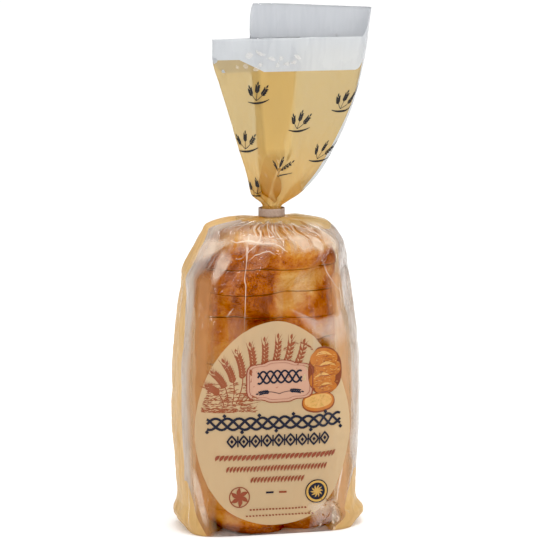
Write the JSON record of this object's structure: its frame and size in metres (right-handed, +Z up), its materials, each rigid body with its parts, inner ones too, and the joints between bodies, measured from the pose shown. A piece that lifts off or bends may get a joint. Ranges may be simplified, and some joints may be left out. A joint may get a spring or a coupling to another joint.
{
  "type": "brioche loaf",
  "caption": "Sliced braided brioche loaf standing on end in a clear film bag with a gathered neck, a wrapped band and a flared top.",
  "frame": {"origin": "on the floor plane, under the middle of the loaf, in the bag's flat folded bottom", "axes": "+Z up along the loaf and the bag's neck; the printed front faces -Y; +X is to the right seen from the front"},
  "size_m": [0.1798, 0.092, 0.472],
  "materials": {
    "bag_film": "glossy clear film, part printed pale yellow",
    "neck_tape": "satin white adhesive tape"
  },
  "bodies": {
    "root": {"bag": "bag_film", "neck_band": "neck_tape"}
  },
  "joints": []
}
